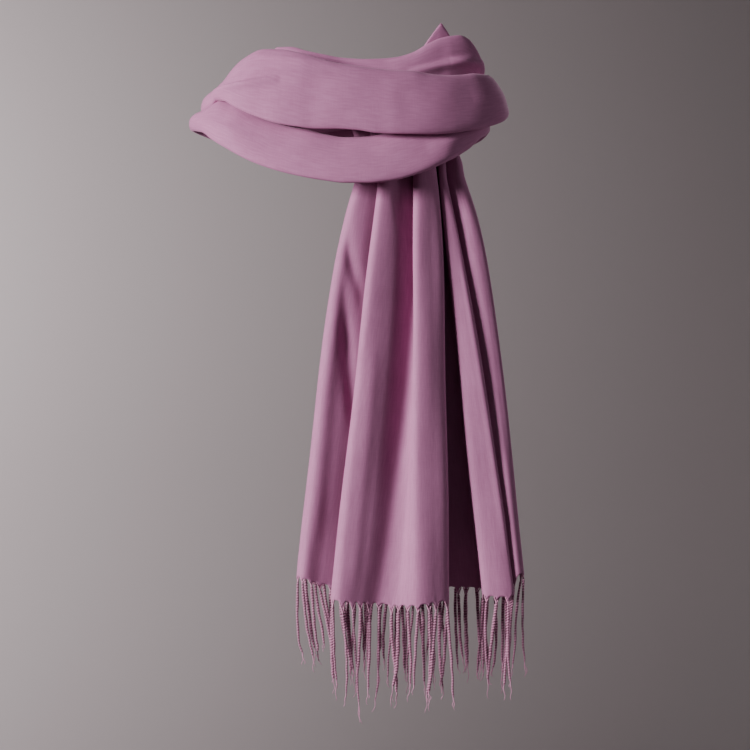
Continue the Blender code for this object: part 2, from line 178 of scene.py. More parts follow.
def wrap_surface(rows, creases, start, end):
    """A wrap's surface between two turns, with its creases, and the cloth's flat coordinates."""
    turns = np.linspace(start, end, round((end - start) / TURN_STEP) + 1)
    places = np.linspace(0, len(ring_shape) - 1, (len(ring_shape) - 1) * RING_STEPS + 1)
    ups, outs = along_curve(ring_shape, places).T
    points = ring_points(rows, turns, ups, outs)
    step = np.linalg.norm(np.diff(points[:, len(places) // 2], axis=0), axis=1)
    lengthwise = np.concatenate([[0], np.cumsum(step)])
    run, heights = lengthwise[:, None], points[..., 2]
    press = np.zeros(heights.shape)
    for turn_from, height_from, turn_to, height_to, above, below, depth in creases:
        run_from, run_to = np.interp([turn_from, turn_to], turns, lengthwise)
        ahead, rise = run_to - run_from, height_to - height_from
        past, over = run - run_from, heights - height_from
        way = np.clip((past * ahead + over * rise) / (ahead**2 + rise**2), 0, 1)
        off = (over * ahead - past * rise) / math.hypot(ahead, rise)
        reach = np.where(off > 0, above, below)
        press += depth * np.sin(math.pi * way) ** CREASE_ENDS * np.exp(-((off / reach) ** 2))
    # the spans of these waves are uneven, so that no two of them line up
    press += WAVE_DEPTH * np.sin(run / 17.0 + heights / 9.0) * np.sin(heights / 6.0 - run / 41.0)
    press += RIPPLE_DEPTH * np.sin(run / 7.3 - heights / 13.0)
    points -= grid_normals(points) * (press * np.clip(outs, 0, 1))[..., None]
    step = np.linalg.norm(np.diff(points, axis=1), axis=2).mean(0)
    across = np.concatenate([[0], np.cumsum(step)])
    return points, np.stack(np.meshgrid(across, lengthwise), -1)


def lay_cloth(bm, points, flat):
    """Lays a flat grid over rows of points, and marks where each corner is on the flat cloth."""
    rows, columns = points.shape[:2]
    made = bmesh.ops.create_grid(bm, x_segments=columns - 1, y_segments=rows - 1, size=1.0)
    weave = bm.loops.layers.uv.verify()
    for vert in made["verts"]:
        i = round((vert.co.y + 1) / 2 * (rows - 1))
        j = round((vert.co.x + 1) / 2 * (columns - 1))
        vert.co = points[i, j] / 1000
        for loop in vert.link_loops:
            loop[weave].uv = flat[i, j] / 1000


def cloth_piece(name, points, flat, material):
    """A stretch of the cloth as an object: its surface and the thickness of its edge."""
    bm = bmesh.new()
    lay_cloth(bm, points, flat)
    mesh = bpy.data.meshes.new(name)
    bm.to_mesh(mesh)
    bm.free()
    mesh.shade_smooth()
    mesh.materials.append(material)
    piece = bpy.data.objects.new(name, mesh)
    bpy.context.scene.collection.objects.link(piece)
    edge = piece.modifiers.new("edge", "SOLIDIFY")
    edge.thickness = CLOTH_THICK / 1000
    edge.offset = 0.0
    return piece


def new_group(name, inputs, outputs):
    """An empty shader node group with these named sockets."""
    group = bpy.data.node_groups.new(name, "ShaderNodeTree")
    for label, kind in inputs:
        group.interface.new_socket(label, in_out="INPUT", socket_type=kind)
    for label, kind in outputs:
        group.interface.new_socket(label, in_out="OUTPUT", socket_type=kind)
    return group


def dye_and_shade_group():
    """Yarn-dyed colour: the dye takes a little unevenly, in soft clouds and along single threads. In
    the fringe's yarn the thread input also brings painted highlight on the twist's crowns and painted
    shade in its grooves.
    """
    group = new_group(
        "uneven_dye_and_shade",
        (
            ("Vector", "NodeSocketVector"),
            ("Pale", "NodeSocketColor"),
            ("Deep", "NodeSocketColor"),
            ("Thread_And_Shade", "NodeSocketFloat"),
        ),
        (("Color", "NodeSocketColor"),),
    )
    nodes, links = group.nodes, group.links
    given = nodes.new("NodeGroupInput")
    result = nodes.new("NodeGroupOutput")
    clouds = nodes.new("ShaderNodeTexNoise")
    clouds.inputs["Scale"].default_value = 28.0
    clouds.inputs["Detail"].default_value = 3.0
    links.new(given.outputs["Vector"], clouds.inputs["Vector"])
    share = nodes.new("ShaderNodeMath")
    share.operation = "MULTIPLY_ADD"
    share.inputs[1].default_value = 0.45
    links.new(clouds.outputs["Fac"], share.inputs[0])
    links.new(given.outputs["Thread_And_Shade"], share.inputs[2])
    mix = nodes.new("ShaderNodeMix")
    mix.data_type = "RGBA"
    mix.clamp_factor = True
    links.new(share.outputs["Value"], mix.inputs["Factor"])
    # a mix node's colours are its inputs 6 and 7 and its output 2
    links.new(given.outputs["Pale"], mix.inputs[6])
    links.new(given.outputs["Deep"], mix.inputs[7])
    links.new(mix.outputs[2], result.inputs["Color"])
    return group


def weave_group():
    """A fine plain weave with uneven yarn: short slubs in the warp and shorter ones in the weft."""
    group = new_group(
        "plain_weave",
        (("Vector", "NodeSocketVector"),),
        (("Height", "NodeSocketFloat"), ("Slub", "NodeSocketFloat")),
    )
    nodes, links = group.nodes, group.links
    given = nodes.new("NodeGroupInput")
    result = nodes.new("NodeGroupOutput")
    sway = nodes.new("ShaderNodeTexNoise")
    sway.inputs["Scale"].default_value = 45.0
    sway.inputs["Detail"].default_value = 1.0
    links.new(given.outputs["Vector"], sway.inputs["Vector"])
    drift = nodes.new("ShaderNodeVectorMath")
    drift.operation = "MULTIPLY_ADD"
    drift.inputs[1].default_value = (0.0035, 0.0035, 0.0)
    links.new(sway.outputs["Color"], drift.inputs[0])
    links.new(given.outputs["Vector"], drift.inputs[2])
    threads = []
    for axis, scale in (("X", (900.0, 55.0, 1.0)), ("Y", (90.0, 1000.0, 1.0))):
        stretch = nodes.new("ShaderNodeMapping")
        stretch.inputs["Scale"].default_value = scale
        links.new(drift.outputs["Vector"], stretch.inputs["Vector"])
        yarn = nodes.new("ShaderNodeTexNoise")
        yarn.inputs["Scale"].default_value = 1.0
        yarn.inputs["Detail"].default_value = 2.5
        yarn.inputs["Roughness"].default_value = 0.65
        links.new(stretch.outputs["Vector"], yarn.inputs["Vector"])
        rib = nodes.new("ShaderNodeTexWave")
        rib.bands_direction = axis
        rib.inputs["Scale"].default_value = 420.0
        rib.inputs["Distortion"].default_value = 0.6
        links.new(given.outputs["Vector"], rib.inputs["Vector"])
        threads.append((yarn, rib))
    slub = nodes.new("ShaderNodeMath")
    slub.operation = "MULTIPLY_ADD"
    slub.inputs[1].default_value = 0.4
    links.new(threads[1][0].outputs["Fac"], slub.inputs[0])
    links.new(threads[0][0].outputs["Fac"], slub.inputs[2])
    ribs = nodes.new("ShaderNodeMath")
    ribs.operation = "ADD"
    links.new(threads[0][1].outputs["Fac"], ribs.inputs[0])
    links.new(threads[1][1].outputs["Fac"], ribs.inputs[1])
    height = nodes.new("ShaderNodeMath")
    height.operation = "MULTIPLY_ADD"
    height.inputs[1].default_value = 0.07
    links.new(ribs.outputs["Value"], height.inputs[0])
    links.new(slub.outputs["Value"], height.inputs[2])
    links.new(height.outputs["Value"], result.inputs["Height"])
    links.new(slub.outputs["Value"], result.inputs["Slub"])
    return group


uneven_dye_and_shade = dye_and_shade_group()
plain_weave = weave_group()


def woven_wool(name, pale, deep):
    """Soft matt wool cloth with a faint sheen, its weave following the cloth."""
    material = bpy.data.materials.new(name)
    material.use_nodes = True
    nodes, links = material.node_tree.nodes, material.node_tree.links
    shader = nodes["Principled BSDF"]
    shader.inputs["Sheen Weight"].default_value = 0.22
    shader.inputs["Sheen Roughness"].default_value = 0.4
    shader.inputs["Sheen Tint"].default_value = (0.95, 0.66, 0.85, 1.0)
    shader.inputs["Specular IOR Level"].default_value = 0.2
    place = nodes.new("ShaderNodeUVMap")
    weave = nodes.new("ShaderNodeGroup")
    weave.node_tree = plain_weave
    links.new(place.outputs["UV"], weave.inputs["Vector"])
    thread = nodes.new("ShaderNodeMapRange")
    thread.inputs["From Min"].default_value = 0.52
    thread.inputs["From Max"].default_value = 0.88
    thread.inputs["To Min"].default_value = 0.42
    thread.inputs["To Max"].default_value = 0.0
    links.new(weave.outputs["Slub"], thread.inputs["Value"])
    dye_and_shade_node = nodes.new("ShaderNodeGroup")
    dye_and_shade_node.node_tree = uneven_dye_and_shade
    dye_and_shade_node.inputs["Pale"].default_value = pale
    dye_and_shade_node.inputs["Deep"].default_value = deep
    links.new(place.outputs["UV"], dye_and_shade_node.inputs["Vector"])
    links.new(thread.outputs["Result"], dye_and_shade_node.inputs["Thread_And_Shade"])
    links.new(dye_and_shade_node.outputs["Color"], shader.inputs["Base Color"])
    nap = nodes.new("ShaderNodeMapRange")
    nap.inputs["To Min"].default_value = 0.92
    nap.inputs["To Max"].default_value = 0.72
    links.new(weave.outputs["Slub"], nap.inputs["Value"])
    links.new(nap.outputs["Result"], shader.inputs["Roughness"])
    relief = nodes.new("ShaderNodeBump")
    relief.inputs["Strength"].default_value = 0.11
    relief.inputs["Distance"].default_value = 0.0006
    links.new(weave.outputs["Height"], relief.inputs["Height"])
    links.new(relief.outputs["Normal"], shader.inputs["Normal"])
    return material


scarf_wool = woven_wool("scarf_wool", (0.51, 0.208, 0.39, 1.0), (0.35, 0.125, 0.25, 1.0))

TOP_START, TOP_END = -40.0, 269.8
top_points, top_flat = wrap_surface(top_rows, top_creases, TOP_START, TOP_END)
flap_turns, flap_raised = np.array(flap_rows).T
top_turns = np.linspace(TOP_START, TOP_END, len(top_points))
raised = np.interp(top_turns, flap_turns, flap_raised)
hem_share = soft_step(1 - np.arange(top_points.shape[1]) / RING_STEPS)
top_points[..., 2] += raised[:, None] * hem_share
scarf_top = cloth_piece("scarf_top", top_points, top_flat, scarf_wool)
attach(scarf_top, "root")
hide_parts("wrap_top")

# ---------------------------------------------------------------- lower wrap
# The second turn: the same cloth goes on from the left, sags across the front as a smooth
# crescent and comes back round behind. Its upper edge is tucked in under the turn above.
lower_rows = (
    (258.0, 6.0, -8.0, 14.0, 16.0, 5.0),
    (270.0, 9.5, -2.5, 25.0, 25.0, 5.0),
    (285.0, 14.5, -6.0, 21.0, 25.0, 5.5),
    (294.0, 22.0, -14.0, 14.5, 26.0, 6.0),
    (302.0, 19.0, -21.0, 10.5, 28.0, 6.5),
    (320.0, 4.6, -37.0, 10.5, 31.0, 6.5),
    (332.0, -3.2, -45.0, 12.0, 32.0, 6.5),
    (342.0, -7.0, -50.0, 13.0, 32.0, 6.5),
    (350.0, -11.5, -53.0, 14.0, 32.0, 6.5),
    (358.0, -14.0, -55.0, 14.0, 32.0, 6.5),
    (366.0, -13.4, -55.0, 14.0, 32.0, 6.5),
    (377.0, -9.2, -52.5, 14.0, 31.0, 6.5),
    (388.0, -6.0, -46.0, 13.0, 30.0, 6.5),
    (400.0, -2.0, -36.0, 10.0, 27.0, 6.5),
    (415.0, 4.0, -23.0, 6.0, 17.0, 6.0),
    (430.0, 9.0, -10.0, 5.0, 9.0, 5.0),
    (450.0, 10.0, -5.0, 2.0, 5.0, 4.5),
    (480.0, 14.0, -14.0, 6.0, 10.0, 5.0),
    (510.0, 16.0, -24.0, 6.0, 13.0, 6.0),
    (540.0, 12.0, -30.0, 6.0, 14.0, 6.5),
    (560.0, 7.0, -28.0, 8.0, 16.0, 6.5),
    (580.0, 13.0, -18.0, 13.0, 18.0, 6.5),
    (590.0, 18.0, -9.0, 12.0, 17.0, 6.0),
    (605.0, 24.0, 4.0, 11.0, 14.0, 6.0),
    (618.0, 25.0, 9.0, 11.0, 12.0, 5.5),
    (630.0, 26.5, 12.0, 14.0, 15.0, 4.5),
    (645.0, 32.0, 17.0, 12.0, 15.0, 4.5),
)
lower_creases = (
    (276.0, 8.0, 318.0, -14.0, 6.0, 6.0, 1.6),
    (330.0, -34.0, 372.0, -40.0, 9.0, 9.0, 0.8),
    (392.0, -24.0, 446.0, 4.0, 7.0, 7.0, 2.0),
    (404.0, -8.0, 440.0, 6.0, 5.0, 5.0, -1.0),
    (462.0, 2.0, 574.0, -12.0, 3.0, 9.0, 3.4),
    (500.0, -16.0, 600.0, 8.0, 6.0, 6.0, 1.6),
)
LOWER_START, LOWER_END = 270.2, 629.8
lower_points, lower_flat = wrap_surface(lower_rows, lower_creases, LOWER_START, LOWER_END)
scarf_lower = cloth_piece("scarf_lower", lower_points, lower_flat, scarf_wool)
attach(scarf_lower, "root")
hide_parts("wrap_lower")

# ---------------------------------------------------------------- upper wrap
# The third turn: a broad band laid across the front over the other two, with a soft fold pulled
# in at the left. It ends tucked in behind, and that end's own fringe stays hidden there.
upper_rows = (
    (618.0, 25.0, 9.0, 11.0, 12.0, 5.5),
    (630.0, 26.5, 12.0, 14.0, 15.0, 4.5),
    (645.0, 32.0, 17.0, 12.0, 15.0, 4.5),
    (653.0, 38.5, 22.5, 9.0, 18.5, 5.0),
    (660.0, 50.0, 21.0, 8.0, 23.5, 5.5),
    (668.0, 59.5, 14.5, 8.0, 27.0, 6.0),
    (680.0, 67.0, 5.0, 8.0, 29.0, 6.5),
    (690.0, 66.0, -1.5, 9.0, 30.0, 7.0),
    (698.0, 62.5, -4.5, 11.0, 29.5, 7.0),
    (706.0, 57.6, -6.4, 12.0, 28.0, 7.0),
    (714.0, 53.0, -6.6, 13.0, 28.0, 7.0),
    (722.0, 50.2, -7.6, 13.0, 28.0, 7.0),
    (731.0, 48.0, -10.4, 13.0, 28.0, 7.0),
    (738.0, 46.6, -11.0, 13.3, 28.7, 7.0),
    (746.0, 46.4, -11.0, 13.1, 28.3, 7.0),
    (754.0, 44.2, -10.8, 12.7, 27.5, 7.0),
    (763.0, 43.2, -9.4, 12.1, 26.4, 7.0),
    (772.0, 44.2, -6.8, 11.0, 25.0, 7.0),
    (784.0, 46.4, -2.8, 10.0, 24.0, 7.0),
    (797.0, 46.5, 3.0, 9.0, 23.0, 7.0),
    (810.0, 44.0, 9.0, 8.0, 22.0, 6.0),
    (840.0, 44.0, 10.0, 12.0, 22.0, 6.5),
    (870.0, 44.0, 8.0, 15.0, 24.0, 7.0),
    (890.0, 41.0, 8.0, 15.0, 23.0, 7.0),
    (905.0, 38.0, 10.0, 10.0, 14.0, 6.0),
    (920.0, 35.0, 12.0, 8.0, 10.0, 5.0),
    (940.0, 28.0, 13.0, 3.0, 4.0, 4.0),
    (962.0, 20.0, 8.0, 0.0, 1.0, 3.5),
)
upper_creases = (
    (646.0, 29.0, 690.0, 40.0, 1.6, 5.0, 5.0),
    (672.0, 41.0, 712.0, 43.5, 4.0, 4.0, 1.5),
    (652.0, 44.0, 700.0, 50.0, 8.0, 8.0, -1.4),
    (676.0, 62.0, 708.0, 54.5, 1.5, 2.4, 1.2),
    (741.0, 44.0, 744.0, -10.0, 22.0, 9.0, -0.5),
    (776.0, 24.0, 832.0, 30.0, 9.0, 9.0, 1.2),
    (784.0, 10.0, 828.0, 17.0, 5.0, 5.0, 0.8),
    (836.0, 32.0, 916.0, 22.0, 3.0, 9.0, 3.6),
)
UPPER_START, UPPER_END = 630.2, 962.0
upper_points, upper_flat = wrap_surface(upper_rows, upper_creases, UPPER_START, UPPER_END)
scarf_upper = cloth_piece("scarf_upper", upper_points, upper_flat, scarf_wool)
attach(scarf_upper, "root")
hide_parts("wrap_upper")

# ---------------------------------------------------------------- hanging end
# The long end of the scarf. It leaves the coil gathered to a hand's width and falls in deep
# lengthwise folds that open out towards the hem, where the warp is drawn together for the fringe.
NECK_Z = -40.0  # height where the end leaves the coil
NECK_HOLD = 0.06  # share of the fall over which the coil still holds the folds together
TAIL_TURNS = (-2.0, 54.0)  # the part of the top wrap that it grows from, degrees
SEAM_DROP = 1.1  # how far its upper edge lies below the top wrap's bottom edge
STRAND_PITCH = 9.0  # spacing of the fringe's strands along the hem
PITCH_COLUMNS = 8  # columns of the cloth's grid between two strands
GATHER_ROWS = 12  # rows of faces above the neck
HANG_ROWS = 66  # rows of faces from the neck to just above the hem
HEM_ROWS = 5  # rows of faces in the last stretch, where the warp is drawn together
HEM_DRAWN = 0.975  # the share of the fall where that starts
HEM_ARCH = 5.4  # about how far the drawn warp reaches below the arches between the strands
ARCH_MEAN = 0.8  # share of that which a bunch reaches on average
ARCH_VARIES = 0.35  # how far a bunch's share may be off that
ARCH_POINT = 1.6  # power of the reach across a bunch: over 1 draws it to a point
PINCH = 0.4  # how far the warp moves sideways to its strand, as a share of the way
PINCH_HOLD = 6  # power that keeps this pull even until near the middle of an arch
STRAND_OFF = 0.22  # how far a strand may be off its even place, as a share of the pitch

# x and proud (the distance in front of the middle plane) go from the neck to the hem
fold_columns = ("fold", "neck_x", "hem_x", "ease", "neck_proud", "hem_proud", "hem")
fold_rows = (
    ("left_edge", 17.0, -20.0, 0.8, 30.0, 38.0, -404.0),
    ("left_turn_back", 8.0, -43.0, 0.7, 33.0, 42.0, -405.0),
    ("left_turn", 6.0, -48.0, 0.67, 37.0, 48.0, -406.0),
    ("left_panel", 10.0, -42.0, 0.7, 42.0, 56.0, -408.0),
    ("left_dip", 17.0, -27.0, 0.9, 41.0, 51.0, -413.0),
    ("first_tuck", 31.0, -7.0, 1.0, 36.0, 45.0, -417.0),
    ("first_tuck_turn", 33.0, -3.0, 1.0, 40.0, 51.0, -419.0),
    ("first_tuck_front", 29.5, -9.0, 1.0, 43.5, 57.0, -421.0),
    ("second_ridge", 25.0, -18.0, 1.0, 45.0, 61.0, -423.0),
    ("second_crest", 30.0, -11.0, 1.0, 49.0, 69.0, -427.0),
    ("middle_panel", 42.0, 8.0, 1.5, 43.5, 64.0, -429.0),
    ("middle_valley", 58.0, 24.0, 1.75, 28.0, 57.0, -430.0),
    ("middle_rise", 63.5, 38.5, 2.2, 34.0, 58.0, -431.5),
    ("third_edge", 56.5, 50.0, 3.0, 42.5, 64.0, -431.5),
    ("third_crest", 60.5, 60.0, 1.0, 46.5, 68.0, -431.0),
    ("third_shoulder", 69.0, 74.0, 0.4, 43.5, 65.0, -429.0),
    ("third_ridge", 76.0, 87.0, 0.35, 37.5, 58.0, -427.0),
    ("third_turn", 72.5, 81.0, 0.4, 28.0, 45.5, -424.0),
    ("back_layer", 52.0, 42.0, 1.0, 18.5, 36.0, -421.0),
    ("back_turn", 35.0, 3.0, 1.0, 17.0, 29.0, -419.0),
    ("deep_layer_start", 39.0, 10.0, 1.0, 13.5, 23.5, -418.0),
    ("deep_layer", 56.0, 56.0, 1.0, 13.0, 18.0, -418.0),
    ("gap_floor", 74.0, 112.0, 1.15, 13.5, 16.5, -419.0),
    ("gap_side", 80.5, 120.0, 1.0, 20.0, 30.0, -421.0),
    ("fourth_side", 79.5, 119.0, 1.0, 33.5, 44.5, -423.0),
    ("fourth_crest", 82.0, 133.0, 0.92, 36.0, 47.0, -425.0),
    ("fourth_ridge", 85.0, 146.0, 0.85, 34.5, 45.5, -424.0),
    ("fourth_turn", 85.0, 144.0, 0.85, 30.5, 41.0, -421.5),
    ("fourth_tuck", 85.5, 139.0, 0.86, 26.5, 36.5, -418.5),
    ("right_panel", 92.0, 145.5, 0.84, 30.5, 40.5, -412.5),
    ("right_crest", 98.0, 151.0, 0.7, 31.5, 42.5, -406.0),
    ("right_turn", 101.0, 155.5, 0.6, 26.0, 37.0, -403.5),
    ("right_turn_back", 95.0, 148.5, 0.62, 16.5, 26.0, -404.0),
    ("last_layer", 78.0, 120.0, 0.8, 8.5, 11.0, -409.0),
    ("right_edge", 66.0, 92.0, 1.0, 7.5, 7.0, -411.0),
)
PULL_FADE = 45  # the stretch over which a pull starts and ends
SWAY_DEPTH = 0.45  # long soft waves in the folds
RUMPLE_DEPTH = 0.25  # finer ones over them
CALM_NECK = 80  # the stretch below the neck over which these waves set in
# pulls in the hanging cloth: from and to, as a fold's place in the table and millimetres down
# (fold_from, down_from, fold_to, down_to, width, depth)
pull_rows = (
    (2.9, 56.0, 4.4, 114.0, 6.0, -2.0),
    (3.3, 100.0, 4.1, 165.0, 6.5, -1.2),
    (3.8, 140.0, 4.7, 228.0, 7.0, -2.6),
    (2.7, 70.0, 3.4, 330.0, 7.0, 1.2),
    (9.8, 20.0, 10.6, 66.0, 4.0, -1.5),
    (9.4, 170.0, 9.6, 370.0, 6.0, 0.9),
    (25.6, 90.0, 26.0, 330.0, 4.0, 0.9),
    (30.0, 50.0, 30.2, 260.0, 5.0, -1.4),
    (17.5, 120.0, 18.6, 320.0, 9.0, -1.6),
    (33.6, 100.0, 34.0, 330.0, 9.0, 1.6),
)


def fold_plan(fall, at):
    """Plan points across the hanging end, at this share of its fall."""
    spread = fall ** column(fold_columns, fold_rows, "ease") * (1 - math.exp(-fall / NECK_HOLD))
    neck_x, hem_x, neck_proud, hem_proud = (
        column(fold_columns, fold_rows, name)
        for name in ("neck_x", "hem_x", "neck_proud", "hem_proud")
    )
    x = neck_x + (hem_x - neck_x) * spread
    y = -(neck_proud + (hem_proud - neck_proud) * fall)
    return along_curve(np.stack([x, y], -1), at)


def hem_height(at):
    """Height of the hem at these places in the fold table."""
    return along_curve(column(fold_columns, fold_rows, "hem")[:, None], at)[:, 0]


def scatter(k, salt):
    """A number from -1 to 1 that looks random and is the same each time."""
    return 2 * math.modf(abs(math.sin(k * 12.9898 + salt * 78.233)) * 43758.5453)[0] - 1


fine = np.linspace(0, len(fold_rows) - 1, 4000)
hem_steps = np.linalg.norm(np.diff(fold_plan(1.0, fine), axis=0), axis=1)
hem_run = np.concatenate([[0], np.cumsum(hem_steps)])
hem_length = hem_run[-1]
strand_count = int(hem_length // STRAND_PITCH)
strand_pitch = hem_length / strand_count
across = np.linspace(0, hem_length, strand_count * PITCH_COLUMNS + 1)
strand_places = [
    (k + 0.5 + STRAND_OFF * scatter(k, 21)) * strand_pitch for k in range(strand_count)
]
strand_drops = [
    HEM_ARCH * (ARCH_MEAN + ARCH_VARIES * scatter(k, 22)) for k in range(strand_count)
]


def drawn_hem(across, share):
    """How the warp is drawn to the strands: the shifted places, and the drop below the arches."""
    cell = np.minimum(across // strand_pitch, strand_count - 1).astype(int)
    nearest = np.array(strand_places)[cell]
    before, after = nearest - cell * strand_pitch, (cell + 1) * strand_pitch - nearest
    off = np.clip((across - nearest) / np.where(across > nearest, after, before), -1, 1)
    drop = np.array(strand_drops)[cell] * (1 - np.abs(off)) ** ARCH_POINT
    drawn = across + (nearest - across) * PINCH * share * (1 - np.abs(off) ** PINCH_HOLD)
    return drawn, drop * share


def hanging_row(fall):
    """A row of points across the hanging end below the neck."""
    share = soft_step((fall - HEM_DRAWN) / (1 - HEM_DRAWN))
    drawn, drop = drawn_hem(across, share)
    at = np.interp(drawn, hem_run, fine)
    z = NECK_Z + (hem_height(at) - NECK_Z) * fall - drop
    return np.concatenate([fold_plan(fall, at), z[:, None]], -1)


def gathered_row(rise):
    """A row of points above the neck, where the folds close up under the top wrap."""
    neck = hanging_row(0.0)
    turns = np.linspace(*TAIL_TURNS, len(neck))
    up, out = ring_shape[RING_BOTTOM_EDGE]
    seam = ring_points(top_rows, turns, np.array([up]), np.array([out]))[:, 0]
    seam[:, 2] -= SEAM_DROP
    ease = soft_step(rise)
    row = neck.copy()
    row[:, 0] += (seam[:, 0] - neck[:, 0]) * (1 - (1 - ease) ** 2)
    row[:, 1] += (seam[:, 1] - neck[:, 1]) * ease**0.6
    row[:, 2] += (seam[:, 2] - neck[:, 2]) * rise
    return row


falls = np.concatenate(
    [
        np.linspace(0, HEM_DRAWN, HANG_ROWS, endpoint=False),
        np.linspace(HEM_DRAWN, 1, HEM_ROWS + 1),
    ]
)
tail_points = np.array(
    [gathered_row(1 - i / GATHER_ROWS) for i in range(GATHER_ROWS)]
    + [hanging_row(fall) for fall in falls]
)
down = NECK_Z - tail_points[..., 2]
pull = np.zeros(down.shape)
for fold_from, down_from, fold_to, down_to, width, depth in pull_rows:
    way = np.clip((down - down_from) / (down_to - down_from), 0, 1)
    line = np.interp(fold_from + (fold_to - fold_from) * way, fine, hem_run)
    begun = soft_step((down - down_from) / PULL_FADE + 0.5)
    fade = begun * soft_step((down_to - down) / PULL_FADE + 0.5)
    pull += depth * fade * np.exp(-(((across - line) / width) ** 2))
# the spans of these waves are uneven too
sway = np.sin(across / 13.0 + down / 70.0) * np.sin(down / 47.0 + across / 31.0)
rumple = np.sin(across / 6.5 - down / 38.0)
pull += (SWAY_DEPTH * sway + RUMPLE_DEPTH * rumple) * soft_step(down / CALM_NECK)
ahead = np.gradient(tail_points[..., :2], axis=1)
ahead /= np.linalg.norm(ahead, axis=2, keepdims=True)
tail_points[..., 0] += ahead[..., 1] * pull
tail_points[..., 1] -= ahead[..., 0] * pull
tail_flat = np.stack([across + 0 * down, down], -1)

scarf_end = cloth_piece("scarf_end", tail_points, tail_flat, scarf_wool)
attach(scarf_end, "root")
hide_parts("tail")

# ---------------------------------------------------------------- fringe
# The warp ends, left long past the hem. Each bunch is split, twisted and plied back into one
# round strand, which starts in two thin forks at the hem and ends in a small frayed tip.
STRAND_WIDE = 1.5  # half width of a twisted strand
PLY_DEPTH = 0.22  # how deep the twist's groove is, as a share of that half width
TWIST_PITCH = 2.4  # length of one turn of the twist
STRAND_RINGS = 200  # rings along a strand
STRAND_SIDES = 6  # points round a strand
STRAND_TUCK = 1.2  # how far above its bunch's point a strand starts
STRAND_THINS = 0.35  # share of its width that a strand loses towards the tip
STRAND_ENDS = 0.05  # share of its length over which a strand closes at either end
LENGTH_VARIES = 6.0  # how far a strand's length may be off the table below
LONG_STRAND = 15.0  # how much longer the few longest strands are
SIDE_VARIES = 4.0  # how far a strand's swing sideways may be off the table
PAIR_SPREAD = 4.5  # how far neighbours lean together or apart
FORWARD_VARIES = 3.5  # how far its swing forwards may be off the table
BOW = 1.9  # how far a strand bows sideways along its length
DOUBLE_BOW = 0.6  # how far it sways the one way and the other on top of that
FORWARD_BOW = 1.6  # how far it bows forwards or back
KINK = 0.28  # fine kinks, which grow towards the tip
CURL = 1.2  # how far the tip curls to one side
CURL_SHARE = 0.2  # share of a strand's length that curls
TWIST_FROM = 7  # ring where the twist starts at the earliest, and the two forks meet
TWIST_LATER = 16  # how many rings later it may start
FORK_SPREAD = 0.3  # how far a fork starts beside its strand, as a share of the pitch
FORK_RING = 2  # ring of the twisted part in which the forks end
FORK_DROP = 0.6  # how far below the hem's arches a fork starts
FRAY_LENGTH = 13.0  # length of the loose threads at the tip
FRAY_TUCK = 2.0  # how far inside the strand they start
FRAY_WAVE = 1.1  # how far they wave sideways
THREAD_WIDE = 0.40  # half width of a loose thread
THREAD_RINGS = 9  # rings along a fork or a loose thread
THREAD_SIDES = 4  # points round it
DYE_LENGTH = 170.0  # how far along the yarn's dye each strand starts past the one before

# where along the hem, how long the strands are, and how far they swing sideways and forwards
sway_columns = ("share", "length", "side", "forward")
sway_rows = (
    (0.0, 66.0, 5.0, 0.0),
    (0.10, 68.0, 7.0, 2.0),
    (0.20, 72.0, 4.0, 3.0),
    (0.30, 74.0, -2.0, 4.0),
    (0.40, 75.0, 1.0, 4.0),
    (0.48, 68.0, -2.0, 2.0),
    (0.55, 61.0, -2.0, 2.0),
    (0.68, 62.0, 2.0, 0.0),
    (0.78, 72.0, -2.0, 3.0),
    (0.88, 80.0, -3.0, 2.0),
    (1.0, 72.0, 0.0, 0.0),
)


def tube(bm, path, wides, lobes, twist, sides, dyed_from):
    """A closed round strand along a path: a grid bent round it, its seam and ends drawn shut."""
    ahead = np.gradient(path, axis=0)
    ahead /= np.linalg.norm(ahead, axis=1, keepdims=True)
    right = np.cross(ahead, [0.0, 1.0, 0.0])
    right /= np.linalg.norm(right, axis=1, keepdims=True)
    front = np.cross(ahead, right)
    angle = np.linspace(0, math.tau, sides + 1)[None, :]
    reach = wides[:, None] * (1 + lobes * np.cos(angle))
    turned = angle + twist[:, None]
    points = path[:, None] + (
        right[:, None] * (reach * np.cos(turned))[..., None]
        + front[:, None] * (reach * np.sin(turned))[..., None]
    )
    points[:, -1] = points[:, 0]
    run = np.concatenate([[0], np.cumsum(np.linalg.norm(np.diff(path, axis=0), axis=1))])
    flat = np.stack(np.meshgrid(angle[0] / math.tau * lobes * 1000, run + dyed_from), -1)
    lay_cloth(bm, points, flat)


def strand_path(k):
    """The middle line of a strand, from the hem to its tip."""
    share = strand_places[k] / hem_length
    at = np.interp([strand_places[k]], hem_run, fine)
    root = np.append(fold_plan(1.0, at)[0], hem_height(at)[0] - strand_drops[k] + STRAND_TUCK)
    shares = column(sway_columns, sway_rows, "share")
    length, side, forward = (
        eased(shares, column(sway_columns, sway_rows, name), [share])[0]
        for name in sway_columns[1:]
    )
    length += LENGTH_VARIES * scatter(k, 1) + LONG_STRAND * max(0.0, scatter(k, 16)) ** 3
    side += SIDE_VARIES * scatter(k, 2) + PAIR_SPREAD * (-1) ** k * abs(scatter(k // 2, 12))
    forward += FORWARD_VARIES * scatter(k, 3)
    s = np.linspace(0, 1, STRAND_RINGS + 1)
    bow = BOW * scatter(k, 4) * np.sin(math.pi * s)
    bow += DOUBLE_BOW * scatter(k, 5) * np.sin(math.tau * s)
    kink = KINK * np.sin(math.tau * (4 + 2 * scatter(k, 10)) * s + k) * s
    curl = CURL * scatter(k, 6) * soft_step((s - (1 - CURL_SHARE)) / CURL_SHARE) ** 2
    x = root[0] + side * s**1.15 + bow + kink + curl
    y = root[1] - forward * s + FORWARD_BOW * scatter(k, 7) * np.sin(math.pi * s)
    return np.stack([x, y, root[2] - length * s], -1)


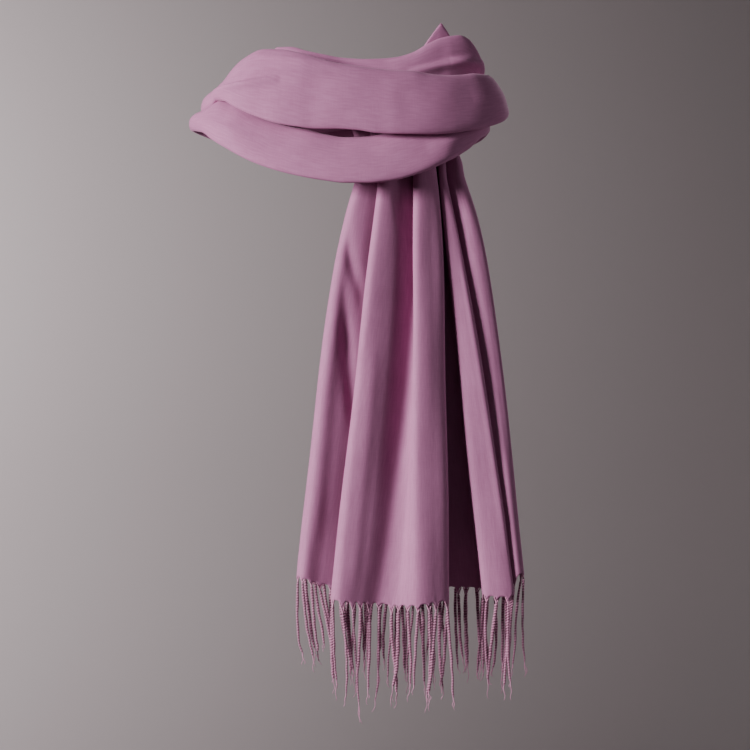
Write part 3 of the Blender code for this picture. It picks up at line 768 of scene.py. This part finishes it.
def strand_wides(k, s):
    """Half widths along a strand: each has its own, and it thins towards the tip."""
    # strands differ by about a quarter, and each swells and shrinks by a twelfth along its length
    wides = STRAND_WIDE * (0.95 + 0.26 * scatter(k, 14) + 0.08 * np.sin(s * 17 + k))
    wides *= (1 - STRAND_THINS * s**3) * (0.15 + 0.85 * soft_step((1 - s) / STRAND_ENDS))
    return wides * (0.6 + 0.4 * soft_step(s / STRAND_ENDS))


def fork_path(k, hand, meet):
    """One of the two thin forks from the hem to where the twisted part of a strand starts."""
    at = np.interp([strand_places[k] + hand * FORK_SPREAD * strand_pitch], hem_run, fine)
    hem = np.append(fold_plan(1.0, at)[0], hem_height(at)[0] - FORK_DROP)
    s = np.linspace(0, 1, THREAD_RINGS)[:, None]
    return hem + (meet - hem) * np.concatenate([s**0.8, s**0.8, s], 1)


def fray_path(k, hand, tip):
    """One of the two loose threads at a strand's tip."""
    s = np.linspace(0, 1, THREAD_RINGS)[:, None]
    fall = FRAY_LENGTH * (0.85 + 0.6 * scatter(k, 8 + hand))
    drift = np.array([hand * 1.0 + 1.8 * scatter(k, 8), scatter(k, 9 + hand), -fall])
    fray = tip + drift * np.concatenate([s**1.5, s**1.5, s], 1)
    wave = np.sin(math.tau * (s[:, 0] * 1.3 + scatter(k, 15 + hand)))
    fray[:, 0] += FRAY_WAVE * wave * s[:, 0]
    return fray


fork_wides = THREAD_WIDE * np.linspace(1.3, 2.0, THREAD_RINGS)
fray_wides = THREAD_WIDE * np.linspace(1.1, 0.6, THREAD_RINGS)
untwisted = np.zeros(THREAD_RINGS)

bm = bmesh.new()
for k in range(strand_count):
    twist_from = TWIST_FROM + round(TWIST_LATER * max(0.0, scatter(k, 13)) ** 2)
    path = strand_path(k)[twist_from:]
    s = np.linspace(0, 1, len(path))
    length = path[0, 2] - path[-1, 2]
    twist = math.tau * s * length / TWIST_PITCH + k
    dyed_from = k * DYE_LENGTH
    tube(bm, path, strand_wides(k, s), PLY_DEPTH, twist, STRAND_SIDES, dyed_from)
    for hand in (-1, 1):
        fork = fork_path(k, hand, path[FORK_RING])
        tube(bm, fork, fork_wides, 0.0, untwisted, THREAD_SIDES, dyed_from)
        fray = fray_path(k, hand, path[-1] + [0, 0, FRAY_TUCK])
        tube(bm, fray, fray_wides, 0.0, untwisted, THREAD_SIDES, dyed_from)
bmesh.ops.remove_doubles(bm, verts=bm.verts[:], dist=1e-6)
bmesh.ops.holes_fill(bm, edges=[edge for edge in bm.edges if edge.is_boundary], sides=0)
bmesh.ops.recalc_face_normals(bm, faces=bm.faces[:])
mesh = bpy.data.meshes.new("scarf_fringe")
bm.to_mesh(mesh)
bm.free()
mesh.shade_smooth()
scarf_fringe = bpy.data.objects.new("scarf_fringe", mesh)
bpy.context.scene.collection.objects.link(scarf_fringe)


def twisted_yarn(name, pale, deep):
    """Plied wool yarn: fine hairs run round the strand, and the dye is uneven along it. Its crowns
    carry painted highlight and its grooves painted shade.
    """
    material = bpy.data.materials.new(name)
    material.use_nodes = True
    nodes, links = material.node_tree.nodes, material.node_tree.links
    shader = nodes["Principled BSDF"]
    shader.inputs["Sheen Weight"].default_value = 0.4
    shader.inputs["Sheen Roughness"].default_value = 0.4
    shader.inputs["Sheen Tint"].default_value = (0.97, 0.80, 0.92, 1.0)
    shader.inputs["Specular IOR Level"].default_value = 0.25
    place = nodes.new("ShaderNodeUVMap")
    lay = nodes.new("ShaderNodeMapping")
    lay.inputs["Scale"].default_value = (22.0, 420.0, 1.0)
    links.new(place.outputs["UV"], lay.inputs["Vector"])
    hairs = nodes.new("ShaderNodeTexNoise")
    hairs.inputs["Scale"].default_value = 1.0
    hairs.inputs["Detail"].default_value = 3.0
    links.new(lay.outputs["Vector"], hairs.inputs["Vector"])
    dye_and_shade_node = nodes.new("ShaderNodeGroup")
    dye_and_shade_node.node_tree = uneven_dye_and_shade
    dye_and_shade_node.inputs["Pale"].default_value = pale
    dye_and_shade_node.inputs["Deep"].default_value = deep
    links.new(place.outputs["UV"], dye_and_shade_node.inputs["Vector"])
    thread = nodes.new("ShaderNodeMapRange")
    thread.inputs["To Min"].default_value = 0.95
    thread.inputs["To Max"].default_value = -0.45
    links.new(hairs.outputs["Fac"], thread.inputs["Value"])
    # painted highlight and shade of the twist: each ply's crown is painted paler and the groove
    # between the plies darker, where shade falls
    round_strand = nodes.new("ShaderNodeSeparateXYZ")
    links.new(place.outputs["UV"], round_strand.inputs["Vector"])
    ply = nodes.new("ShaderNodeMath")
    ply.operation = "MULTIPLY"
    ply.inputs[1].default_value = math.tau / PLY_DEPTH
    links.new(round_strand.outputs["X"], ply.inputs[0])
    ply_shade_mask = nodes.new("ShaderNodeMath")
    ply_shade_mask.operation = "COSINE"
    links.new(ply.outputs["Value"], ply_shade_mask.inputs[0])
    groove_shade_and_hairs = nodes.new("ShaderNodeMath")
    groove_shade_and_hairs.operation = "MULTIPLY_ADD"
    groove_shade_and_hairs.inputs[1].default_value = -0.4
    links.new(ply_shade_mask.outputs["Value"], groove_shade_and_hairs.inputs[0])
    links.new(thread.outputs["Result"], groove_shade_and_hairs.inputs[2])
    links.new(groove_shade_and_hairs.outputs["Value"], dye_and_shade_node.inputs["Thread_And_Shade"])
    links.new(dye_and_shade_node.outputs["Color"], shader.inputs["Base Color"])
    rough = nodes.new("ShaderNodeMapRange")
    rough.inputs["To Min"].default_value = 0.9
    rough.inputs["To Max"].default_value = 0.65
    links.new(hairs.outputs["Fac"], rough.inputs["Value"])
    links.new(rough.outputs["Result"], shader.inputs["Roughness"])
    relief = nodes.new("ShaderNodeBump")
    relief.inputs["Strength"].default_value = 0.4
    relief.inputs["Distance"].default_value = 0.0003
    links.new(hairs.outputs["Fac"], relief.inputs["Height"])
    links.new(relief.outputs["Normal"], shader.inputs["Normal"])
    return material


# the pale colour is the painted highlight on the twist's crowns and the deep one the painted shade in
# its grooves; the hairs and the dye's clouds vary both
mesh.materials.append(twisted_yarn("plied_yarn", (0.60, 0.28, 0.44, 1.0), (0.11, 0.03, 0.065, 1.0)))
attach(scarf_fringe, "root")
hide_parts("fringe")

# ---------------------------------------------------------------- floor, light and camera
# A plain pale studio floor that turns up into a wall all round, so that no edge of it shows. One
# large soft light stands at the upper left, three weak ones fill the shadows, and one lights the
# wall behind the scarf.
COVE_RADIUS = 3.6  # of the flat floor, metres
COVE_FLOOR = -1.35  # height of the floor
COVE_HEIGHT = 4.2  # height of the wall above its bend
COVE_BEND = 0.9  # radius of the bend between them
COVE_SIDES = 96
BEND_STEPS = 10

bm = bmesh.new()
bmesh.ops.create_circle(bm, cap_ends=True, radius=COVE_RADIUS, segments=COVE_SIDES)
bmesh.ops.translate(bm, verts=bm.verts[:], vec=(0, 0, COVE_FLOOR))
edges = bm.edges[:]
for rise in np.linspace(1 / BEND_STEPS, 1.0, BEND_STEPS):
    grown = bmesh.ops.extrude_edge_only(bm, edges=edges)["geom"]
    verts = [item for item in grown if isinstance(item, bmesh.types.BMVert)]
    edges = [item for item in grown if isinstance(item, bmesh.types.BMEdge)]
    lean = COVE_BEND * math.sin(rise * math.pi / 2)
    height = COVE_BEND * (1 - math.cos(rise * math.pi / 2))
    for vert in verts:
        outward = np.array(vert.co.xy) / np.hypot(*vert.co.xy)
        vert.co = (*(outward * (COVE_RADIUS + lean)), COVE_FLOOR + height)
grown = bmesh.ops.extrude_edge_only(bm, edges=edges)["geom"]
verts = [item for item in grown if isinstance(item, bmesh.types.BMVert)]
bmesh.ops.translate(bm, verts=verts, vec=(0, 0, COVE_HEIGHT))
bmesh.ops.recalc_face_normals(bm, faces=bm.faces[:])
bmesh.ops.reverse_faces(bm, faces=bm.faces[:])
mesh = bpy.data.meshes.new("studio_cove")
bm.to_mesh(mesh)
bm.free()
mesh.shade_smooth()
paint = bpy.data.materials.new("pale_paint")
paint.use_nodes = True
paint.node_tree.nodes["Principled BSDF"].inputs["Base Color"].default_value = (0.44, 0.395, 0.405, 1)
paint.node_tree.nodes["Principled BSDF"].inputs["Roughness"].default_value = 0.9
mesh.materials.append(paint)
cove = bpy.data.objects.new("studio_cove", mesh)
bpy.context.scene.collection.objects.link(cove)


def soft_light(name, place, aim, size, spread, watts, colour):
    """A large square light at a place, turned to where it aims and spreading over so many degrees."""
    lamp = bpy.data.lights.new(name, "AREA")
    lamp.size = size
    lamp.spread = math.radians(spread)
    lamp.energy = watts
    lamp.color = colour
    light = bpy.data.objects.new(name, lamp)
    light.visible_camera = False
    light.location = place
    way = np.array(aim, float) - np.array(place, float)
    light.rotation_euler = (
        math.atan2(math.hypot(way[0], way[1]), -way[2]),
        0.0,
        math.atan2(-way[0], way[1]),
    )
    bpy.context.scene.collection.objects.link(light)


soft_light("window", (-3.4, -1.96, 0.60), (0.0, 0.0, -0.21), 1.0, 50, 27.0, (1.0, 0.965, 0.95))
soft_light("side_fill", (2.6, -0.4, 0.25), (0.0, 0.0, -0.12), 1.0, 60, 1.2, (1.0, 0.97, 0.98))
soft_light("front_fill", (0.9, -2.9, 0.3), (0.0, 0.0, -0.2), 1.6, 90, 0.4, (0.98, 0.97, 1.0))
soft_light("back_fill", (1.2, 2.0, 0.9), (0.0, 0.0, -0.15), 1.2, 60, 2.4, (1.0, 0.98, 0.98))
soft_light("wall_wash", (-1.8, 2.7, 0.2), (-1.7, 4.5, 0.0), 1.1, 140, 50.0, (1.0, 0.96, 0.965))

world = bpy.data.worlds.new("studio")
world.use_nodes = True
world.node_tree.nodes["Background"].inputs["Color"].default_value = (0.9, 0.9, 0.92, 1.0)
world.node_tree.nodes["Background"].inputs["Strength"].default_value = 0.05
bpy.context.scene.world = world

CAMERA_AWAY = 2.56  # metres in front of the coil's middle
CAMERA_X = 0.0215
CAMERA_Z = -0.226
VIEW_HALF_WIDTH = 0.3353  # half width of what the picture shows, at the hanging folds
VIEW_DISTANCE = 2.5  # from the camera to those folds
SENSOR_WIDTH = 36.0  # millimetres, as is the lens
lens = bpy.data.cameras.new("camera")
lens.sensor_width = SENSOR_WIDTH
lens.lens = SENSOR_WIDTH / 2 * VIEW_DISTANCE / VIEW_HALF_WIDTH
camera = bpy.data.objects.new("camera", lens)
camera.location = (CAMERA_X, -CAMERA_AWAY, CAMERA_Z)
camera.rotation_euler = (math.pi / 2, 0.0, 0.0)
bpy.context.scene.collection.objects.link(camera)
bpy.context.scene.camera = camera
